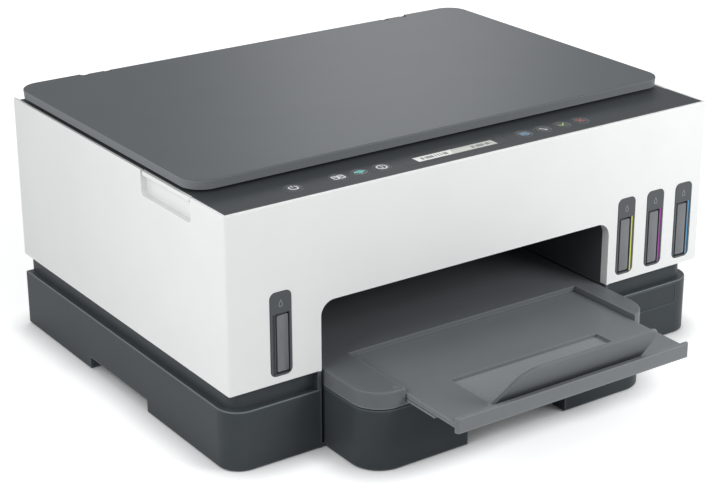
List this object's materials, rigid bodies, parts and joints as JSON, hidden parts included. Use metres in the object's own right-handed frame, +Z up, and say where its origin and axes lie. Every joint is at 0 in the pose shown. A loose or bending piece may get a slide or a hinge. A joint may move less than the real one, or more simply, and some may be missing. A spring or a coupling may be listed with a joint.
{
  "type": "inkjet printer",
  "caption": "Desktop all-in-one inkjet printer with refillable ink tanks, lifting flatbed scanner, button strip, pull-out paper tray and extending output stop.",
  "frame": {"origin": "centre of the overall box on the surface that the printer stands on", "axes": "+X to the printer's right as seen from its front, +Y towards its back, +Z up"},
  "size_m": [0.447, 0.4622, 0.207],
  "materials": {
    "white_casing": "satin white",
    "dark_base": "satin charcoal",
    "dark_deck": "satin charcoal",
    "lid_grey": "satin slate grey",
    "tray_dark": "satin charcoal",
    "tray_grey": "satin grey",
    "stop_grey": "satin grey",
    "black_plastic": "fine textured black",
    "bezel_black": "satin charcoal",
    "window_smoke": "smoked clear",
    "marker_dye": "gloss dye",
    "tank_clear": "milky clear",
    "cap_grey": "satin",
    "rubber": "matte",
    "steel": "plain",
    "sheet_metal": "galvanised",
    "board_green": "solder mask",
    "glass": "clear",
    "display_glass": "clear over display",
    "foam_white": "white foam",
    "button_dark": "satin",
    "guide_plastic": "satin"
  },
  "bodies": {
    "chassis": {"base_casing": "dark_base", "rubber_feet": "rubber", "upper_casing": "white_casing", "rear_panel": "dark_base", "bay_liner": "black_plastic", "ink_bezels": "bezel_black", "ink_windows": "window_smoke", "ink_markers": "marker_dye", "ink_tanks": "tank_clear", "print_frame": "sheet_metal", "platen": "black_plastic", "feed_belt": "rubber", "paper_guide": "black_plastic", "carriage_frame": "sheet_metal", "carriage_rod": "steel", "carriage_belt": "rubber", "motors": "steel", "service_station": "black_plastic", "main_board": "board_green", "power_supply": "black_plastic", "rear_sockets": "black_plastic"},
    "scanner_unit": {"scanner_deck": "dark_deck", "scanner_tub": "black_plastic", "grip_lips": "white_casing", "scan_glass": "glass", "display_window": "display_glass", "control_board": "board_green"},
    "scanner_lid": {"lid_shell": "lid_grey", "lid_backing": "foam_white"},
    "scan_bar": {"scan_bar": "black_plastic"},
    "paper_tray": {"tray_body": "tray_dark", "output_deck": "tray_grey"},
    "left_width_guide": {"left_width_guide": "guide_plastic"},
    "right_width_guide": {"right_width_guide": "guide_plastic"},
    "guide_pinion": {"guide_pinion": "guide_plastic"},
    "length_guide": {"length_guide": "guide_plastic"},
    "tray_extension": {"tray_extension": "tray_grey"},
    "paper_stop": {"paper_stop": "stop_grey"},
    "print_carriage": {"carriage_shell": "black_plastic", "printheads": "steel"},
    "motor_pulley": {"motor_pulley": "steel"},
    "idler_pulley": {"idler_pulley": "guide_plastic"},
    "feed_roller": {"feed_roller": "rubber"},
    "output_roller": {"output_roller": "rubber"},
    "star_wheels": {"star_wheels": "steel"},
    "pick_arm": {"pick_arm": "black_plastic"},
    "pick_roller": {"pick_roller": "rubber"},
    "rear_door": {"rear_door": "dark_base"},
    "power_button": {"power_button": "button_dark"},
    "document_button": {"document_button": "button_dark"},
    "wireless_button": {"wireless_button": "button_dark"},
    "info_button": {"info_button": "button_dark"},
    "ink_button": {"ink_button": "button_dark"},
    "paper_button": {"paper_button": "button_dark"},
    "confirm_button": {"confirm_button": "button_dark"},
    "cancel_button": {"cancel_button": "button_dark"},
    "black_tank_cap": {"black_tank_cap": "cap_grey"},
    "yellow_tank_cap": {"yellow_tank_cap": "cap_grey"},
    "magenta_tank_cap": {"magenta_tank_cap": "cap_grey"},
    "cyan_tank_cap": {"cyan_tank_cap": "cap_grey"}
  },
  "joints": [
    {"name": "scanner_unit_hinge", "type": "hinge", "parent": "chassis", "child": "scanner_unit", "pos_m": [0, 0.22159, 0.189], "axis": [-1, 0, 0], "range_deg": [0, 45]},
    {"name": "scanner_lid_hinge", "type": "hinge", "parent": "scanner_unit", "child": "scanner_lid", "pos_m": [0, 0.22659, 0.2035], "axis": [-1, 0, 0], "range_deg": [0, 80]},
    {"name": "scan_bar_slide", "type": "slide", "parent": "scanner_unit", "child": "scan_bar", "axis": [1, 0, 0], "range_m": [0, 0.304]},
    {"name": "power_button_press", "type": "slide", "parent": "scanner_unit", "child": "power_button", "axis": [0, 0, -1], "range_m": [0, 0.0008], "stiffness_N_per_m": 300, "springref_m": -0.002},
    {"name": "document_button_press", "type": "slide", "parent": "scanner_unit", "child": "document_button", "axis": [0, 0, -1], "range_m": [0, 0.0008], "stiffness_N_per_m": 300, "springref_m": -0.002},
    {"name": "wireless_button_press", "type": "slide", "parent": "scanner_unit", "child": "wireless_button", "axis": [0, 0, -1], "range_m": [0, 0.0008], "stiffness_N_per_m": 300, "springref_m": -0.002},
    {"name": "info_button_press", "type": "slide", "parent": "scanner_unit", "child": "info_button", "axis": [0, 0, -1], "range_m": [0, 0.0008], "stiffness_N_per_m": 300, "springref_m": -0.002},
    {"name": "ink_button_press", "type": "slide", "parent": "scanner_unit", "child": "ink_button", "axis": [0, 0, -1], "range_m": [0, 0.0008], "stiffness_N_per_m": 300, "springref_m": -0.002},
    {"name": "paper_button_press", "type": "slide", "parent": "scanner_unit", "child": "paper_button", "axis": [0, 0, -1], "range_m": [0, 0.0008], "stiffness_N_per_m": 300, "springref_m": -0.002},
    {"name": "confirm_button_press", "type": "slide", "parent": "scanner_unit", "child": "confirm_button", "axis": [0, 0, -1], "range_m": [0, 0.0008], "stiffness_N_per_m": 300, "springref_m": -0.002},
    {"name": "cancel_button_press", "type": "slide", "parent": "scanner_unit", "child": "cancel_button", "axis": [0, 0, -1], "range_m": [0, 0.0008], "stiffness_N_per_m": 300, "springref_m": -0.002},
    {"name": "paper_tray_slide", "type": "slide", "parent": "chassis", "child": "paper_tray", "axis": [0, -1, 0], "range_m": [0, 0.16]},
    {"name": "left_guide_slide", "type": "slide", "parent": "paper_tray", "child": "left_width_guide", "axis": [1, 0, 0], "range_m": [0, 0.05]},
    {"name": "right_guide_slide", "type": "slide", "parent": "paper_tray", "child": "right_width_guide", "axis": [-1, 0, 0], "range_m": [0, 0.05]},
    {"name": "guide_pinion_turn", "type": "hinge", "parent": "paper_tray", "child": "guide_pinion", "pos_m": [-0.0102, 0.00209, 0.006], "axis": [0, 0, -1], "range_deg": [0, 290]},
    {"name": "length_guide_slide", "type": "slide", "parent": "paper_tray", "child": "length_guide", "axis": [0, 1, 0], "range_m": [0, 0.08]},
    {"name": "tray_extension_slide", "type": "slide", "parent": "paper_tray", "child": "tray_extension", "axis": [0, 1, 0], "range_m": [0, 0.055]},
    {"name": "paper_stop_hinge", "type": "hinge", "parent": "tray_extension", "child": "paper_stop", "pos_m": [-0.0042, -0.20191, 0.0565], "axis": [-1, 0, 0], "range_deg": [0, 128]},
    {"name": "carriage_slide", "type": "slide", "parent": "chassis", "child": "print_carriage", "axis": [-1, 0, 0], "range_m": [0, 0.326]},
    {"name": "motor_pulley_turn", "type": "hinge", "parent": "chassis", "child": "motor_pulley", "pos_m": [-0.192, 0.16409, 0.13], "axis": [0, 1, 0], "range_deg": [0, 3130]},
    {"name": "idler_pulley_turn", "type": "hinge", "parent": "chassis", "child": "idler_pulley", "pos_m": [0.192, 0.16409, 0.13], "axis": [0, 1, 0], "range_deg": [0, 3130]},
    {"name": "feed_roller_turn", "type": "hinge", "parent": "chassis", "child": "feed_roller", "pos_m": [0, 0.14509, 0.075], "axis": [1, 0, 0], "continuous": true},
    {"name": "output_roller_turn", "type": "hinge", "parent": "chassis", "child": "output_roller", "pos_m": [0, 0.05409, 0.075], "axis": [1, 0, 0], "continuous": true},
    {"name": "star_wheels_turn", "type": "hinge", "parent": "chassis", "child": "star_wheels", "pos_m": [0, 0.05409, 0.0869], "axis": [1, 0, 0], "continuous": true},
    {"name": "pick_arm_hinge", "type": "hinge", "parent": "chassis", "child": "pick_arm", "pos_m": [0, 0.12709, 0.054], "axis": [-1, 0, 0], "range_deg": [0, 18]},
    {"name": "pick_roller_turn", "type": "hinge", "parent": "pick_arm", "child": "pick_roller", "pos_m": [-0.0102, 0.07209, 0.026], "axis": [1, 0, 0], "continuous": true},
    {"name": "black_tank_cap_hinge", "type": "hinge", "parent": "chassis", "child": "black_tank_cap", "pos_m": [-0.18, -0.03891, 0.143], "axis": [-1, 0, 0], "range_deg": [0, 95]},
    {"name": "yellow_tank_cap_hinge", "type": "hinge", "parent": "chassis", "child": "yellow_tank_cap", "pos_m": [0.1434, -0.03891, 0.143], "axis": [-1, 0, 0], "range_deg": [0, 95]},
    {"name": "magenta_tank_cap_hinge", "type": "hinge", "parent": "chassis", "child": "magenta_tank_cap", "pos_m": [0.174, -0.03891, 0.143], "axis": [-1, 0, 0], "range_deg": [0, 95]},
    {"name": "cyan_tank_cap_hinge", "type": "hinge", "parent": "chassis", "child": "cyan_tank_cap", "pos_m": [0.2046, -0.03891, 0.143], "axis": [-1, 0, 0], "range_deg": [0, 95]},
    {"name": "rear_door_hinge", "type": "hinge", "parent": "chassis", "child": "rear_door", "pos_m": [-0.0102, 0.22779, 0.0742], "axis": [-1, 0, 0], "range_deg": [0, 60]}
  ],
  "couplings": [
    {"joint": "right_guide_slide", "follows": "left_guide_slide", "ratio": 1},
    {"joint": "guide_pinion_turn", "follows": "left_guide_slide", "rad_per_m": 100},
    {"joint": "motor_pulley_turn", "follows": "carriage_slide", "rad_per_m": 166.67},
    {"joint": "idler_pulley_turn", "follows": "carriage_slide", "rad_per_m": 166.67},
    {"joint": "output_roller_turn", "follows": "feed_roller_turn", "ratio": 1},
    {"joint": "star_wheels_turn", "follows": "feed_roller_turn", "ratio": -1.875}
  ]
}
